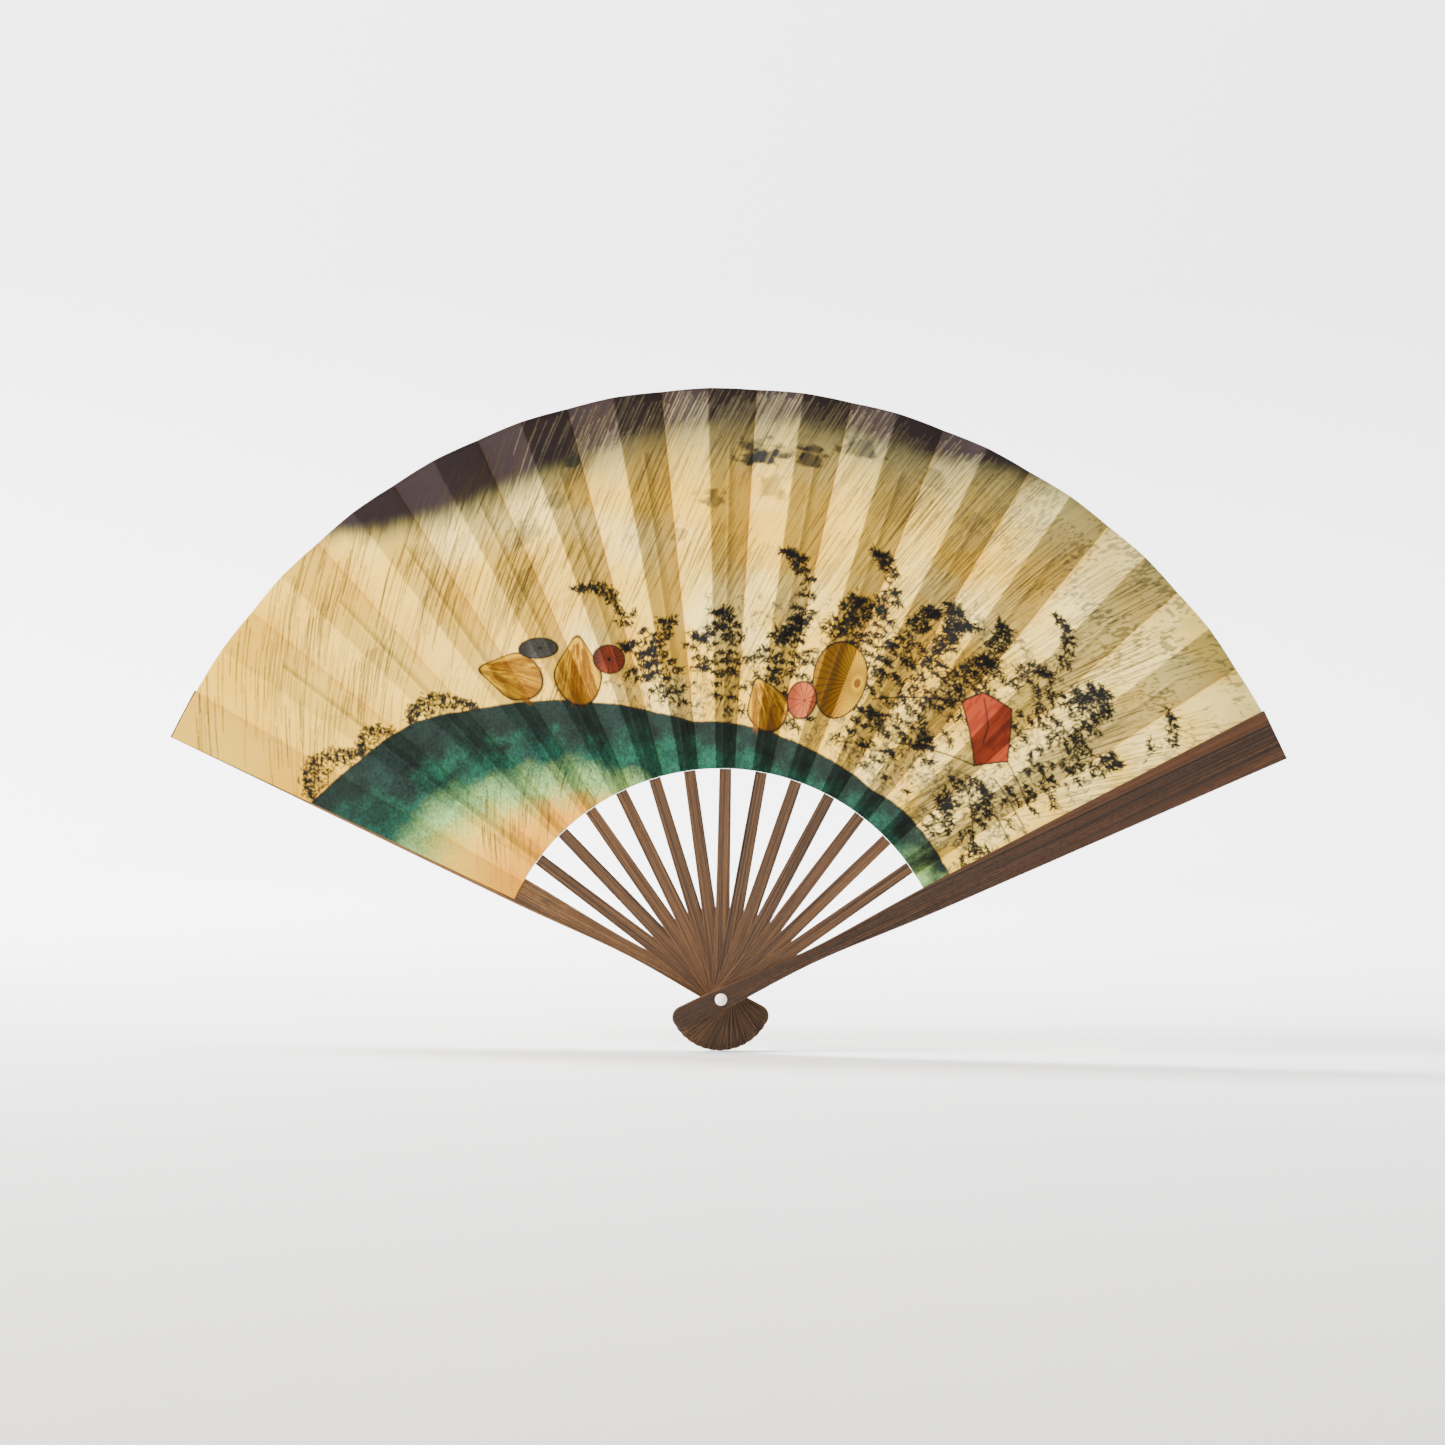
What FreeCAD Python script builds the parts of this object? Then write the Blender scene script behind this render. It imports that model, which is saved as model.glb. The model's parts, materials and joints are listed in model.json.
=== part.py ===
"""A bamboo folding fan, spread open: two guards and thirteen ribs on one rivet, and a pleated paper leaf.

Millimetres. The open fan stands in the XZ plane and faces -Y. The rivet's axis is the Y axis, and the middle
of the rivet is the origin. The middle rib points up, +Z. The sticks lie one behind another along Y: stick 0 is
the rear guard, at the left and furthest back, sticks 1 to 13 are the ribs, and stick 14 is the front guard.

A pleat is the panel of paper that a rib's thin blade is glued into. A fold is the free panel between two
pleats. When the fan shuts, the pleats turn flat and each fold doubles back over the pleat to its left.
"""
import FreeCAD, Part
import math
import os

V = FreeCAD.Vector
FRONT = V(0, -1, 0)

# Lengths along a stick, from the rivet's axis
closed_length = 227.0
tail_length = 18.0
tip_radius = closed_length - tail_length
leaf_inner_radius = 78.5
leaf_outer_radius = 208.5
blade_tip_radius = 188.5

# The spread of the sticks, in degrees from +X, counter-clockwise as the viewer sees it
rib_count = 13
rib_spacing_deg = 9.0
guard_spacing_deg = 9.36
front_stick = rib_count + 1
middle_rib = (rib_count + 1) // 2

# The stack of sticks along the rivet
stick_pitch = 1.1
rib_thickness = 1.05
guard_thickness = 2.6
slide_gap = (stick_pitch - rib_thickness) / 2

# Stick outlines: (distance from the rivet, half width). Guards and ribs share the tail, so they shut flush.
tail_half_width = 3.9
guard_sides = [(0.0, 3.7), (18.0, 2.8), (36.0, 2.4), (52.0, 3.1), (leaf_inner_radius, 4.65)]
guard_tip_half_width = 9.05
rib_sides = [(0.0, 3.65), (18.0, 2.75), (36.0, 2.35), (56.0, 2.2)]
rib_shoulder = leaf_inner_radius - 0.1
rib_shoulder_half_width = 2.05
rib_shoulder_thickness = 0.36
rib_taper_start = 12.0

# The blade is the rib's thin end, inside the leaf
blade_thickness = 0.3
blade_base_half_width = 1.05
blade_tip_half_width = 0.6

# Guards: flat outside with rounded edges, and thinned on the inside where the leaf is glued on
guard_recess_start = 58.0
guard_recess_end = 72.0
guard_edge_radius = 0.5

# The leaf, in two glued plies
pleat_deg = 4.8
pleat_tilt_deg = 18.6
ply_thickness = 0.12
glue_gap = 0.02
crease_gap_deg = 0.03
crease_gap = 0.12
fold_strips = 4

# The rivet
pin_radius = 1.2
pin_clearance = 0.05
head_radius = 2.05
head_height = 1.15
head_rim = 0.3
head_seat_radius = 2.25
head_seat_depth = 0.25
cap_socket_depth = 0.6


def stick_angle(stick):
    """The stick's direction when the fan is open, in degrees."""
    if stick == 0:
        return stick_angle(1) + guard_spacing_deg
    if stick == front_stick:
        return stick_angle(rib_count) - guard_spacing_deg
    return 90.0 + (middle_rib - stick) * rib_spacing_deg


def stick_depth(stick):
    """How far the stick's middle plane stands in front of the middle rib's."""
    return (stick - middle_rib) * stick_pitch


def outward(angle_deg):
    angle = math.radians(angle_deg)
    return V(math.cos(angle), 0, math.sin(angle))


def clockwise(angle_deg):
    angle = math.radians(angle_deg)
    return V(math.sin(angle), 0, -math.cos(angle))


def onto_stick(shape, stick, tilt_deg=0.0):
    """Carries a shape made on an upright stick, along +Z, to its place on the fan."""
    tilt = FreeCAD.Rotation(V(0, 0, 1), tilt_deg)
    swing = FreeCAD.Rotation(FRONT, stick_angle(stick) - 90.0)
    placed = shape.copy()
    placed.Placement = FreeCAD.Placement(FRONT * stick_depth(stick), swing * tilt)
    return placed


def slab(outline, back, front):
    """A closed outline in the XZ plane as a plate between two distances in front of that plane."""
    face = Part.Face(outline)
    face.translate(FRONT * back)
    return face.extrude(FRONT * (front - back))


def stick_outline(sides, end, end_half_width):
    """Round tail, curved waist through the given side points, and a straight run to the square end."""
    tail_centre = tail_half_width - tail_length
    side_points = [(tail_centre, tail_half_width)] + sides
    right = Part.BSplineCurve()
    right.interpolate([V(x, 0, z) for z, x in side_points])
    left = Part.BSplineCurve()
    left.interpolate([V(-x, 0, z) for z, x in reversed(side_points)])
    last_z, last_x = side_points[-1]
    corners = [V(last_x, 0, last_z), V(end_half_width, 0, end), V(-end_half_width, 0, end), V(-last_x, 0, last_z)]
    straights = [Part.makeLine(a, b) for a, b in zip(corners, corners[1:])]
    tail = Part.Arc(V(-tail_half_width, 0, tail_centre), V(0, 0, -tail_length), V(tail_half_width, 0, tail_centre))
    return Part.Wire([right.toShape()] + straights + [left.toShape(), tail.toShape()])


def side_profile(points):
    """The stick seen from its side, (distance from the rivet, distance in front), as a wide block to trim it by."""
    reach = 2 * guard_tip_half_width
    loop = [V(-reach, -front, z) for z, front in points]
    return Part.Face(Part.makePolygon(loop + loop[:1])).extrude(V(2 * reach, 0, 0))


def pin_hole():
    across = 4 * guard_thickness
    return Part.makeCylinder(pin_radius + pin_clearance, across, FRONT * (-across / 2), FRONT)


def rib():
    """A rib's handle: flat and parallel at the rivet, thinning to the shoulder where the leaf begins."""
    full, thin = rib_thickness / 2, rib_shoulder_thickness / 2
    plate = slab(stick_outline(rib_sides, rib_shoulder, rib_shoulder_half_width), -full, full)
    trim = side_profile(
        [
            (-tail_length - 1, full),
            (rib_taper_start, full),
            (rib_shoulder + 1, thin),
            (rib_shoulder + 1, -thin),
            (rib_taper_start, -full),
            (-tail_length - 1, -full),
        ]
    )
    return plate.common(trim).cut(pin_hole()).removeSplitter()


def blade():
    """The rib's thin end, which tapers to a round tip inside the leaf."""
    base, tip = blade_base_half_width, blade_tip_half_width
    z0, z1 = leaf_inner_radius, blade_tip_radius - tip
    round_tip = Part.Arc(V(tip, 0, z1), V(0, 0, blade_tip_radius), V(-tip, 0, z1)).toShape()
    sides = [Part.makeLine(V(-base, 0, z0), V(base, 0, z0)), Part.makeLine(V(base, 0, z0), V(tip, 0, z1))]
    closing = Part.makeLine(V(-tip, 0, z1), V(-base, 0, z0))
    return slab(Part.Wire(sides + [round_tip, closing]), -blade_thickness / 2, blade_thickness / 2)


def guard(facing):
    """A guard. facing is +1 where its inner side looks forward, on the rear guard, and -1 on the front guard."""
    inner = rib_thickness / 2
    outer = inner - guard_thickness
    beyond = tip_radius + 1
    profile = [
        (-tail_length - 1, inner),
        (guard_recess_start, inner),
        (guard_recess_end, -ply_thickness),
        (beyond, -ply_thickness),
        (beyond, outer),
        (-tail_length - 1, outer),
    ]
    trim = side_profile([(z, facing * front) for z, front in profile])
    plate = slab(stick_outline(guard_sides, tip_radius, guard_tip_half_width), -guard_thickness, guard_thickness)
    body = plate.common(trim)
    outer_rim = [edge for edge in body.Edges if lies_at(edge, facing * outer)]
    floor = FRONT * facing * (outer + head_seat_depth)
    head_seat = Part.makeCylinder(head_seat_radius, guard_thickness, floor, FRONT * -facing)
    return body.makeFillet(guard_edge_radius, outer_rim).cut(head_seat).cut(pin_hole()).removeSplitter()


def lies_at(edge, front):
    """True for an edge that keeps one distance in front of the stick's middle plane."""
    return all(abs(-vertex.Point.y - front) < 0.001 for vertex in edge.Vertexes)


def panel(back, front):
    """A flat panel of the leaf: a sector of the pleat's angle about the rivet."""
    half = math.radians(pleat_deg / 2 - crease_gap_deg)

    def rim(radius, side):
        return V(side * radius * math.sin(half), 0, radius * math.cos(half))

    outer = Part.Arc(rim(leaf_outer_radius, 1), V(0, 0, leaf_outer_radius), rim(leaf_outer_radius, -1))
    inner = Part.Arc(rim(leaf_inner_radius, -1), V(0, 0, leaf_inner_radius), rim(leaf_inner_radius, 1))
    right = Part.makeLine(rim(leaf_inner_radius, 1), rim(leaf_outer_radius, 1))
    left = Part.makeLine(rim(leaf_outer_radius, -1), rim(leaf_inner_radius, -1))
    return slab(Part.Wire([right, outer.toShape(), left, inner.toShape()]), back, front)


def pleat():
    """A pleat's two plies, one on each side of the blade."""
    inside = blade_thickness / 2 + glue_gap
    outside = inside + ply_thickness
    return Part.Compound([panel(inside, outside), panel(-outside, -inside)])


def crease_point(stick, side, radius):
    """A point on a pleat's crease. side is +1 for its clockwise crease and -1 for the other."""
    tilt = 0.0 if stick in (0, front_stick) else math.radians(pleat_tilt_deg)
    half = math.radians(pleat_deg / 2)
    angle = stick_angle(stick)
    across = clockwise(angle) * math.cos(tilt) - FRONT * math.sin(tilt)
    along = outward(angle) * math.cos(half) + across * (side * math.sin(half))
    return FRONT * stick_depth(stick) + along * radius


def fold_section(stick, radius):
    """A fold's corners at one distance from the rivet: left and right on its front, then left and right behind."""
    start = crease_point(stick, 1, radius)
    end = crease_point(stick + 1, -1, radius)
    across = (end - start).normalize()
    midway = (stick_angle(stick) + stick_angle(stick + 1)) / 2
    half = across.cross(outward(midway)).normalize() * ply_thickness
    start, end = start + across * crease_gap, end - across * crease_gap
    return [start + half, end + half, start - half, end - half]


def flat_face(corners):
    return Part.Face(Part.makePolygon(corners + corners[:1]))


def fold(stick):
    """The free panel from one pleat's clockwise crease to the next pleat's counter-clockwise crease.

    The two creases meet at different depths on the rivet, so the panel is slightly twisted: it is made of flat
    triangles between a few cross-sections."""
    length = leaf_outer_radius - leaf_inner_radius
    radii = [leaf_inner_radius + length * k / fold_strips for k in range(fold_strips + 1)]
    sections = [fold_section(stick, radius) for radius in radii]
    faces = [flat_face([ends[0], ends[1], ends[3], ends[2]]) for ends in (sections[0], sections[-1])]
    for near, far in zip(sections, sections[1:]):
        for a, b in ((0, 1), (2, 3), (0, 2), (1, 3)):
            faces.append(flat_face([near[a], near[b], far[b]]))
            faces.append(flat_face([near[a], far[b], far[a]]))
    return Part.makeSolid(Part.makeShell(faces))


def dome(seat, direction):
    """A rivet head: a low round dome on a flat seat, pointing forward (+1) or back (-1)."""
    top = seat + direction * head_height
    edge = seat + direction * head_rim
    rise = head_height - head_rim
    crown_radius = (head_radius**2 + rise**2) / (2 * rise)
    halfway = math.asin(head_radius / crown_radius) / 2
    middle = top - direction * crown_radius * (1 - math.cos(halfway))
    crown = Part.Arc(V(head_radius, -edge, 0), V(crown_radius * math.sin(halfway), -middle, 0), V(0, -top, 0))
    outline = [
        Part.makeLine(V(0, -seat, 0), V(head_radius, -seat, 0)),
        Part.makeLine(V(head_radius, -seat, 0), V(head_radius, -edge, 0)),
        crown.toShape(),
        Part.makeLine(V(0, -top, 0), V(0, -seat, 0)),
    ]
    return Part.Face(Part.Wire(outline)).revolve(V(0, 0, 0), V(0, 1, 0), 360)


def rivet():
    """The rivet's pin with its rear head, and the cap that is pressed on at the front."""
    guard_face = stick_depth(front_stick) - rib_thickness / 2 + guard_thickness
    reach = guard_face - head_seat_depth + slide_gap
    shaft = Part.makeCylinder(pin_radius, 2 * reach + cap_socket_depth, FRONT * -reach, FRONT)
    socket = Part.makeCylinder(pin_radius, cap_socket_depth, FRONT * reach, FRONT)
    return shaft.fuse(dome(-reach, -1)).removeSplitter(), dome(reach, 1).cut(socket)


def save(shape, name):
    assert shape.isValid() and shape.Volume > 0, name
    shape.exportStep("parts/%s.step" % name)


def main():
    os.makedirs("parts", exist_ok=True)
    pin, cap = rivet()
    save(pin, "rivet_pin")
    save(cap, "rivet_cap")

    save(onto_stick(guard(1), 0), "rear_guard")
    save(onto_stick(guard(-1), front_stick), "front_guard")
    end_panel = panel(-ply_thickness, ply_thickness)
    save(onto_stick(end_panel, 0), "leaf_end_rear")
    save(onto_stick(end_panel, front_stick), "leaf_end_front")

    rib_shape, blade_shape, pleat_shape = rib(), blade(), pleat()
    for stick in range(1, rib_count + 1):
        save(onto_stick(rib_shape, stick), "rib_%02d" % stick)
        save(onto_stick(blade_shape, stick, pleat_tilt_deg), "rib_blade_%02d" % stick)
        save(onto_stick(pleat_shape, stick, pleat_tilt_deg), "leaf_pleat_%02d" % stick)
    for stick in range(front_stick):
        save(fold(stick), "leaf_fold_%02d" % stick)


main()
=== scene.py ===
"""A folding fan, open: a pleated paper leaf, painted with a hillside in the rain, on bamboo sticks.

The sticks, guards and rivet are the frame's own solids with bamboo and plastic finishes. The leaf's 29
panels are made here: each is a grid over its sector, thickened, so that neighbours share their crease when
the fan is open. The picture is painted on the flat sheet, in degrees across and millimetres up, before it
is pleated.
"""
import bpy
import json
import math
import numpy as np
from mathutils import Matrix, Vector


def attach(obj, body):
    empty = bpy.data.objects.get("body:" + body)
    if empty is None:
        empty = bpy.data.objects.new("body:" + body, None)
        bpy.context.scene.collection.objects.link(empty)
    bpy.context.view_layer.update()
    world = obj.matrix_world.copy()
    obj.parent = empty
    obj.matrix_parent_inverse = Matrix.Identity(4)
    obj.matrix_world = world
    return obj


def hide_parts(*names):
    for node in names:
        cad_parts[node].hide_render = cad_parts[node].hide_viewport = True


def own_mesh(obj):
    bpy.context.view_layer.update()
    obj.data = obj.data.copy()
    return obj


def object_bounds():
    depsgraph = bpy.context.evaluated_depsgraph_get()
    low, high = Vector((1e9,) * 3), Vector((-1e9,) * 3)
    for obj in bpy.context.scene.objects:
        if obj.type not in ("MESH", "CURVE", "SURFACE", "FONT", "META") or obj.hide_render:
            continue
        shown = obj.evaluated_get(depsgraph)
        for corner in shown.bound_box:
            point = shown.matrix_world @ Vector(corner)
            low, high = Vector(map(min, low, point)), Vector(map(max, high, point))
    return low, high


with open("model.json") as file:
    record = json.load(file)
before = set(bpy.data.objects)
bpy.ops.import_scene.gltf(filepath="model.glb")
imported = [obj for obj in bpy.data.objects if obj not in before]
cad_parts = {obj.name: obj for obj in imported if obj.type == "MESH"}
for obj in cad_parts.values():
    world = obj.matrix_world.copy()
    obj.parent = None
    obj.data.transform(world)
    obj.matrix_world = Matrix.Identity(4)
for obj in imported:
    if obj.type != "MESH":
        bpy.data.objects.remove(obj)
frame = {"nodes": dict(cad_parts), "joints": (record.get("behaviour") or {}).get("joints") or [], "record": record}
cad_low, cad_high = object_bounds()

# ------------------------------------------------------------------ the sticks, read from the frame

FRONT = np.array([0.0, -1.0, 0.0])
joints = {joint["name"]: joint for joint in frame["joints"]}
ratios = {c["joint"]: c["ratio"] for c in frame["record"]["behaviour"]["couplings"]}
TURN = math.radians(joints["fan_fold"]["range_deg"][1])
RIBS = sum(name.startswith("rib_swing_") for name in joints)
FRONT_STICK = RIBS + 1
PANELS = 2 * RIBS + 3


def rib_angle(stick):
    """A rib's direction, from its pleat's hinge, which runs down the rib towards the rivet."""
    x, _, z = joints["pleat_turn_%02d" % stick]["axis"]
    return math.atan2(-z, -x)


def rib_depth(stick):
    return -joints["pleat_turn_%02d" % stick]["pos_m"][1]


PITCH = rib_depth(2) - rib_depth(1)
rear_angle = rib_angle(1) + ratios["rib_swing_01"] * TURN
stick_angle = np.array([rear_angle] + [rib_angle(i) for i in range(1, FRONT_STICK)] + [rear_angle - TURN])
stick_depth = rib_depth(1) + PITCH * (np.arange(FRONT_STICK + 1) - 1)
stick_tilt = np.full(FRONT_STICK + 1, ratios["pleat_turn_01"] * TURN)
stick_tilt[[0, FRONT_STICK]] = 0.0

# ------------------------------------------------------------------ the leaf's sizes, in metres

LEAF_INNER = 0.0785
LEAF_OUTER = 0.2085
PANEL_ANGLE = math.radians(4.8)
PLY = 0.00012  # from a panel's middle surface to either face
BLADE_RISE = 0.00017  # how far a ply stands out over the blade it covers
BLADE_TIP = 0.1885
BLADE_HALF_WIDTHS = (0.00105, 0.0006)  # at the leaf's inner edge and at the tip
SHOULDER = 0.0011  # how far past the blade a ply takes to lie down again
LEAST_SHOULDER = 0.0002
SHOULDER_REACH = 0.46  # share of a pleat's width, from its middle, that a shoulder may reach
FOLD_BOW = 0.00022  # about how far a fold bellies out of flat
PLEAT_BOW = 0.00005  # and a pleat, which its blade holds flatter

# Half widths of the sticks at the tail, the waist and where the leaf begins.
TAIL_HALF = 0.0038
WAIST_HALF = 0.0024
RIB_END_HALF = 0.00205
GUARD_END_HALF = 0.00465

# Grid of a panel's painted front, and how many of its cells one cell of the back spans.
COLUMNS = 54
ROWS = 390
BACK_COLUMN_STEP = 3
BACK_ROW_STEP = 13


def linear(colour):
    """An sRGB colour, 0 to 255, as the linear values that shaders and attributes hold."""
    c = np.asarray(colour, float) / 255.0
    return np.where(c <= 0.04045, c / 12.92, ((c + 0.055) / 1.055) ** 2.4)


def rgba(colour):
    return (*[float(v) for v in linear(colour)], 1.0)


def rise(low, high, x):
    """Smoothstep: 0 below low, 1 above high, and a soft S between."""
    t = np.clip((x - low) / (high - low), 0.0, 1.0)
    return t * t * (3.0 - 2.0 * t)


def value_noise(x, y, seed):
    """Random numbers on a unit lattice, blended in each cell by smoothstep weights. Runs from 0 to 1."""
    table = np.random.default_rng(seed).random((256, 256))
    column, row = np.floor(x).astype(int), np.floor(y).astype(int)
    fx, fy = rise(0, 1, x - column), rise(0, 1, y - row)
    near = table[row % 256, column % 256] * (1 - fx) + table[row % 256, (column + 1) % 256] * fx
    far = table[(row + 1) % 256, column % 256] * (1 - fx) + table[(row + 1) % 256, (column + 1) % 256] * fx
    return near * (1 - fy) + far * fy


def clouded(x, y, seed, layers=4):
    """Value noise summed over layers, each twice as fine and half as strong as the one before."""
    total = sum(value_noise(x * 2**k, y * 2**k, seed + k) * 0.5**k for k in range(layers))
    return total / sum(0.5**k for k in range(layers))


# ------------------------------------------------------------------ the painting, on the flat sheet

# The sheet's own coordinates: across in degrees from its left end, up in millimetres from its inner edge.
# run and lift are both in millimetres at every point, for textures.
SHEET_COLUMNS = PANELS * COLUMNS + 1
across = np.linspace(0.0, math.degrees(PANEL_ANGLE) * PANELS, SHEET_COLUMNS)[None, :]
up = np.linspace(0.0, (LEAF_OUTER - LEAF_INNER) * 1000.0, ROWS + 1)[:, None]
radius_mm = LEAF_INNER * 1000.0 + up
MIDDLE_RADIUS = 150.0
run = np.radians(across) * MIDDLE_RADIUS + 0.0 * up
lift = up + 0.0 * across
CELL = 0.34  # millimetres over which an edge is softened, about one row of points
SHEET_END = float(across[0, -1])
SHEET_TOP = float(up[-1, 0])

PAPER = (228, 190, 76)
PAPER_WARM = (222, 172, 34)
PAPER_PALE = (240, 218, 136)
PAPER_ORANGE = (216, 142, 4)
CHARCOAL = (40, 31, 33)
SKY_GREEN = (52, 58, 44)
SKY_OLIVE = (132, 132, 84)
RAIN_INK = (54, 42, 27)
SKY_SCRATCH = (146, 136, 104)
CLOUD_INK = (32, 34, 34)
HILL_DARK = (22, 37, 34)
HILL_TEAL = (20, 70, 56)
HILL_PALE = (136, 176, 104)
LEAF_INK = (10, 13, 16)
GREY_INK = (66, 68, 54)
STRAW = (190, 146, 6)
STRAW_DARK = (104, 62, 6)
HAT_BROWN = (118, 48, 24)
HAT_GREY = (60, 60, 56)
RUST = (142, 54, 26)
RUST_DARK = (104, 32, 14)
SALMON = (164, 84, 48)
OUTLINE = (22, 18, 18)

picture = np.ones(lift.shape + (3,)) * linear(PAPER)


def wash(colour, mask):
    """Lays a colour over the picture where the mask is above 0."""
    mask = np.clip(mask, 0, 1)[..., None]
    picture[:] = picture * (1 - mask) + linear(colour) * mask


def along(points):
    """A profile over the sheet: straight lines through given (degrees across, value) points."""
    a, value = np.array(points, float).T
    return np.interp(across, a, value)


def scale_at(height):
    """Millimetres in a degree across the sheet, at a height above its inner edge."""
    return math.radians(1.0) * (LEAF_INNER * 1000.0 + height)


def stroke(start, end, width, colour, strength=1.0, taper=0.0):
    """One brush stroke: a straight capsule, in millimetres about its start, thinned by taper to its end."""
    (a0, u0), (a1, u1) = start, end
    scale = scale_at((u0 + u1) / 2)
    pad = width + CELL
    c0, c1 = np.searchsorted(across[0], [min(a0, a1) - pad / scale, max(a0, a1) + pad / scale])
    r0, r1 = np.searchsorted(up[:, 0], [min(u0, u1) - pad, max(u0, u1) + pad])
    if c1 <= c0 or r1 <= r0:
        return
    x, y = (across[:, c0:c1] - a0) * scale, up[r0:r1] - u0
    dx, dy = (a1 - a0) * scale, u1 - u0
    t = np.clip((x * dx + y * dy) / max(dx * dx + dy * dy, 1e-9), 0, 1)
    away = np.hypot(x - t * dx, y - t * dy)
    mask = np.clip((width / 2 * (1 - taper * t) - away) / CELL + 0.5, 0, 1)[..., None] * strength
    picture[r0:r1, c0:c1] = picture[r0:r1, c0:c1] * (1 - mask) + linear(colour) * mask


def outline(points, width, colour, strength=1.0):
    for start, end in zip(points, points[1:]):
        stroke(start, end, width, colour, strength)


def inside(points, softness=0.5):
    """1 inside a convex outline given clockwise, 0 outside, from the least distance to any of its sides."""
    nearest = np.full(lift.shape, 1e3)
    scale = scale_at(np.mean(points, axis=0)[1])
    for (a0, u0), (a1, u1) in zip(points, points[1:] + points[:1]):
        dx, dy = (a1 - a0) * scale, u1 - u0
        nearest = np.minimum(nearest, ((across - a0) * scale * dy - (up - u0) * dx) / math.hypot(dx, dy))
    return np.clip(nearest / softness + 0.5, 0, 1)


RAIN_LEAN_DEG = [(0, 60), (20, 60), (45, 46), (70, 26), (103, 14), (128, 18), (140, 18)]
rain_lean = lift * np.tan(np.radians(along(RAIN_LEAN_DEG)))
streak = value_noise((run - rain_lean) / 1.1, lift / 30, 12)


def paint_paper():
    """Cream paper, warmer towards the left, with faint cloudy stains."""
    stains = clouded(run / 38, lift / 30, 3)
    light_patches = clouded(run / 30, lift / 26, 5)
    wash(PAPER_WARM, 0.6 * rise(0.35, 0.75, stains) + 0.45 * (1 - rise(0, 70, run)))
    wash(PAPER_PALE, 0.8 * rise(0.4, 0.7, light_patches) * rise(50, 110, run))
    wash(PAPER_ORANGE, 0.75 * (1 - rise(3, 26, lift)) * (1 - rise(40, 62, across)))


def paint_sky():
    """A charcoal band along the outer edge, deepest left of the middle, that bleeds down through a dark
    green and an olive fringe. To the right the band ends and only the olive goes on."""
    depth = along([(0, -60), (19, -9), (26.4, 0), (28.6, 6), (33.7, 13), (41, 17.5), (52, 17), (59, 14),
                   (67, 11), (76.5, 9), (86.6, 11), (93, 8), (101, 1), (108, -4), (140, -9)])
    ragged = 3.0 * (clouded(run / 11, lift / 40, 11) - 0.5) + 1.5 * (streak - 0.5)
    below = SHEET_TOP - lift - depth - ragged
    reach = along([(0, 3), (20, 5), (34, 14), (60, 26), (85, 32), (105, 40), (140, 44)])
    present = rise(17, 27, across)
    fading = 1 - 0.75 * rise(98, 112, across)
    wash(SKY_OLIVE, 0.72 * (1 - rise(0, 1, (below + 2) / reach)) * present * (0.8 + 0.3 * streak))
    wash(SKY_GREEN, 0.85 * (1 - rise(-3, 11, below)) * present * fading)
    wash(CHARCOAL, 1 - rise(-3.0, 4.0, below))


def paint_clouds():
    """Ragged smears of ink, flatter below than above, broken up along the rain. Each has its place, half
    width, half height and strength."""
    for a, u, wide, tall, strength in [
        (44, 93, 7, 4.5, 0.45), (49, 100, 6, 4, 0.4), (51.5, 112, 4.5, 3, 0.8), (73, 106.5, 10, 5, 0.9),
        (78.5, 108, 7, 5, 0.8), (84, 114, 9, 4.5, 0.75), (67.5, 91, 7, 4, 0.65), (74.5, 96, 6, 5, 0.45),
        (63, 80, 4, 2.5, 0.35), (92, 112, 6, 4, 0.4), (98, 104, 6, 4, 0.25),
    ]:
        x, y = (across - a) * scale_at(u), lift - u
        edge = 1.5 * (clouded(run / 2.8, lift / 1.9, int(a)) - 0.5)
        body = 1 - rise(0.55, 1.1, np.hypot(x / wide, y / tall * np.where(y > 0, 0.8, 1.8)) + edge)
        wash(CLOUD_INK, strength * body * (0.75 + 0.6 * streak))


def paint_rain():
    """Bunches of fine parallel strokes that fall from upper right to lower left, thickest under the sky
    band, where some are left pale. Each stroke is broken into dashes of its own lengths."""
    rng = np.random.default_rng(51)
    lean_at, lean_deg = np.array(RAIN_LEAN_DEG, float).T
    for bunch in range(460):
        in_sky = bunch % 5 == 0
        ink = SKY_SCRATCH if in_sky else RAIN_INK
        a0 = rng.uniform(48, 114) if in_sky else SHEET_END * rng.random() ** 0.8
        u0 = SHEET_TOP - rng.uniform(0, 14) if in_sky else SHEET_TOP * rng.random() ** 0.62
        lean = math.radians(float(np.interp(a0, lean_at, lean_deg)) + rng.normal(0, 1.5))
        strength = rng.uniform(0.35, 0.85) * (0.5 + 0.5 * u0 / SHEET_TOP)
        strength *= 0.55 if in_sky else 1.0
        spacing = rng.uniform(1.1, 1.9)
        for k in range(rng.integers(5, 12)):
            a = a0 + k * spacing / math.cos(lean) / scale_at(u0)
            top = u0 + rng.uniform(-3, 3)
            length = rng.uniform(9, 30)
            while length > 2:
                dash = min(length, rng.uniform(1.0, 11.0))
                end = (a - dash * math.sin(lean) / scale_at(top), top - dash * math.cos(lean))
                stroke((a, top), end, 0.38, ink, strength * rng.uniform(0.6, 1.15), taper=0.3)
                gap = dash + rng.uniform(0.2, 0.8)
                a -= gap * math.sin(lean) / scale_at(top)
                top -= gap * math.cos(lean)
                length -= gap


def paint_speckle():
    """A dark grain where the sky comes down at the far right."""
    patches = 0.4 + 0.6 * value_noise(run / 9, lift / 5, 58)
    grain = value_noise((run - rain_lean) / 0.5, lift / 1.3, 57) * patches
    wash(SKY_GREEN, 0.6 * rise(0.38, 0.56, grain) * rise(80, 104, lift) * rise(92, 108, across))


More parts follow.
